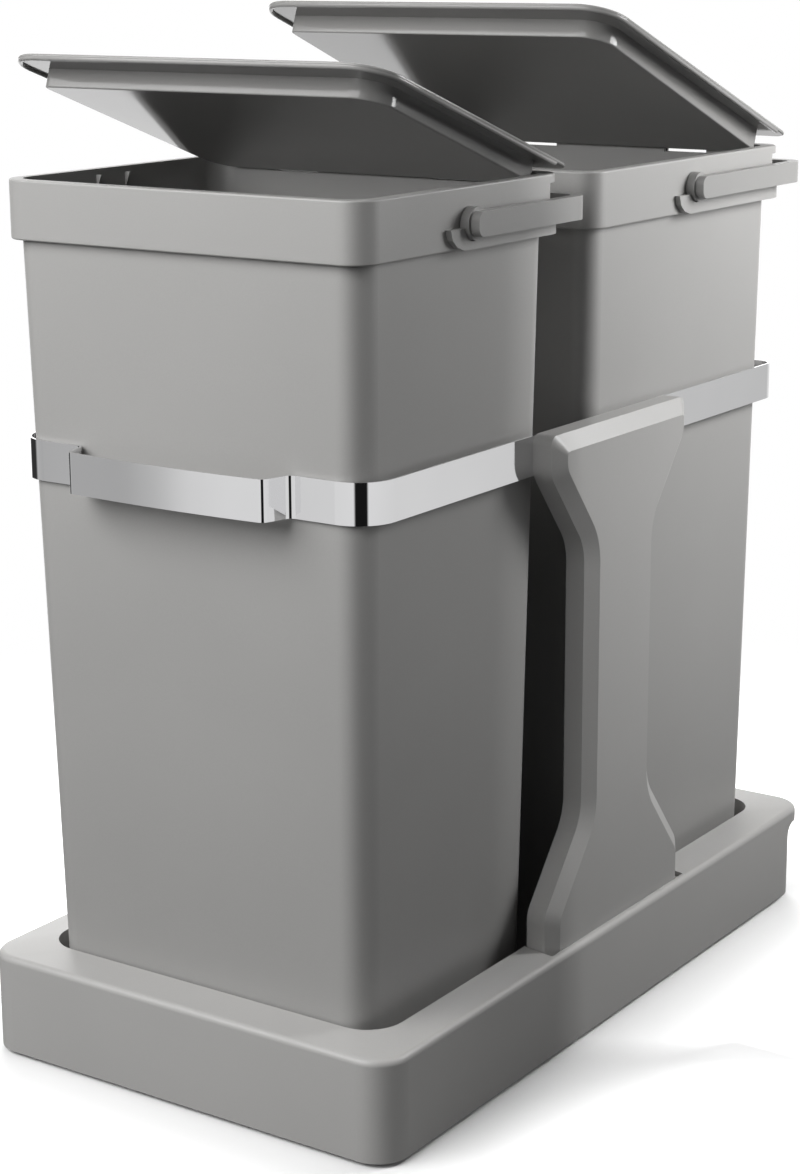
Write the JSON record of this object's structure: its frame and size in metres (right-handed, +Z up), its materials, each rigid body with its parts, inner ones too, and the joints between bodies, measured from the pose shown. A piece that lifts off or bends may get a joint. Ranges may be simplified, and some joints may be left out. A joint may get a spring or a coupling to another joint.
{
  "type": "pull-out waste unit",
  "caption": "Floor-mounted pull-out kitchen waste unit: tall tapered bins with hinged lids and carrying bails in a shallow tray, held by a chromed band on side pillars.",
  "frame": {"origin": "centre of the bounding box's bottom, on the cabinet floor", "axes": "+Z up, -Y towards the front where the unit is pulled out, +X to the right seen from the front"},
  "size_m": [0.26, 0.4584, 0.5435],
  "materials": {
    "tray_plastic": "fine moulded texture",
    "bin_plastic": "fine moulded texture, faint sheen",
    "lid_plastic": "smooth",
    "bail_plastic": "smooth",
    "pillar_plastic": "fine moulded texture",
    "chromed_strip": "mirror",
    "zinc_steel": "zinc plated",
    "buffer_rubber": "matt"
  },
  "bodies": {
    "floor_frame": {"floor_bracket_right": "zinc_steel", "floor_bracket_left": "zinc_steel", "front_cross_plate": "zinc_steel", "rear_cross_plate": "zinc_steel", "frame_rivets": "zinc_steel", "rail_rivets": "zinc_steel", "outer_rail_right": "zinc_steel", "outer_rail_left": "zinc_steel", "rail_buffer_right": "buffer_rubber", "rail_buffer_left": "buffer_rubber"},
    "outer_cages": {"outer_ball_cage_right": "zinc_steel", "outer_ball_cage_left": "zinc_steel"},
    "middle_rails": {"middle_rail_right": "zinc_steel", "middle_rail_left": "zinc_steel"},
    "inner_cages": {"inner_ball_cage_right": "zinc_steel", "inner_ball_cage_left": "zinc_steel"},
    "carriage": {"tray": "tray_plastic", "tray_screws": "zinc_steel", "inner_rail_right": "zinc_steel", "inner_rail_left": "zinc_steel", "pillar_right": "pillar_plastic", "pillar_left": "pillar_plastic", "pillar_screws": "zinc_steel", "band": "chromed_strip", "band_screws": "zinc_steel"},
    "front_bin": {"front_bin": "bin_plastic", "front_hinge_pins": "zinc_steel"},
    "rear_bin": {"rear_bin": "bin_plastic", "rear_hinge_pins": "zinc_steel"},
    "front_lid": {"front_lid": "lid_plastic"},
    "rear_lid": {"rear_lid": "lid_plastic"},
    "front_bail": {"front_bail": "bail_plastic", "front_bail_pins": "bail_plastic"},
    "rear_bail": {"rear_bail": "bail_plastic", "rear_bail_pins": "bail_plastic"}
  },
  "joints": [
    {"name": "carriage_slide", "type": "slide", "parent": "floor_frame", "child": "carriage", "axis": [0, -1, 0], "range_m": [0, 0.4]},
    {"name": "middle_slide", "type": "slide", "parent": "floor_frame", "child": "middle_rails", "axis": [0, -1, 0], "range_m": [0, 0.2]},
    {"name": "outer_cage_slide", "type": "slide", "parent": "floor_frame", "child": "outer_cages", "axis": [0, -1, 0], "range_m": [0, 0.1]},
    {"name": "inner_cage_slide", "type": "slide", "parent": "floor_frame", "child": "inner_cages", "axis": [0, -1, 0], "range_m": [0, 0.3]},
    {"name": "front_bin_lift", "type": "slide", "parent": "carriage", "child": "front_bin", "axis": [0, 0, 1], "range_m": [0, 0.46]},
    {"name": "rear_bin_lift", "type": "slide", "parent": "carriage", "child": "rear_bin", "axis": [0, 0, 1], "range_m": [0, 0.46]},
    {"name": "front_lid_hinge", "type": "hinge", "parent": "front_bin", "child": "front_lid", "pos_m": [0, -0.03925, 0.4646], "axis": [-1, 0, 0], "range_deg": [-18.9, 71]},
    {"name": "rear_lid_hinge", "type": "hinge", "parent": "rear_bin", "child": "rear_lid", "pos_m": [0, 0.20875, 0.4647], "axis": [-1, 0, 0], "range_deg": [-20.3, 69.7]},
    {"name": "front_bail_hinge", "type": "hinge", "parent": "front_bin", "child": "front_bail", "pos_m": [0, -0.12725, 0.4452], "axis": [1, 0, 0], "range_deg": [0, 100]},
    {"name": "rear_bail_hinge", "type": "hinge", "parent": "rear_bin", "child": "rear_bail", "pos_m": [0, 0.09875, 0.4444], "axis": [1, 0, 0], "range_deg": [0, 100]}
  ],
  "couplings": [
    {"joint": "middle_slide", "follows": "carriage_slide", "ratio": 0.5},
    {"joint": "outer_cage_slide", "follows": "carriage_slide", "ratio": 0.25},
    {"joint": "inner_cage_slide", "follows": "carriage_slide", "ratio": 0.75}
  ]
}
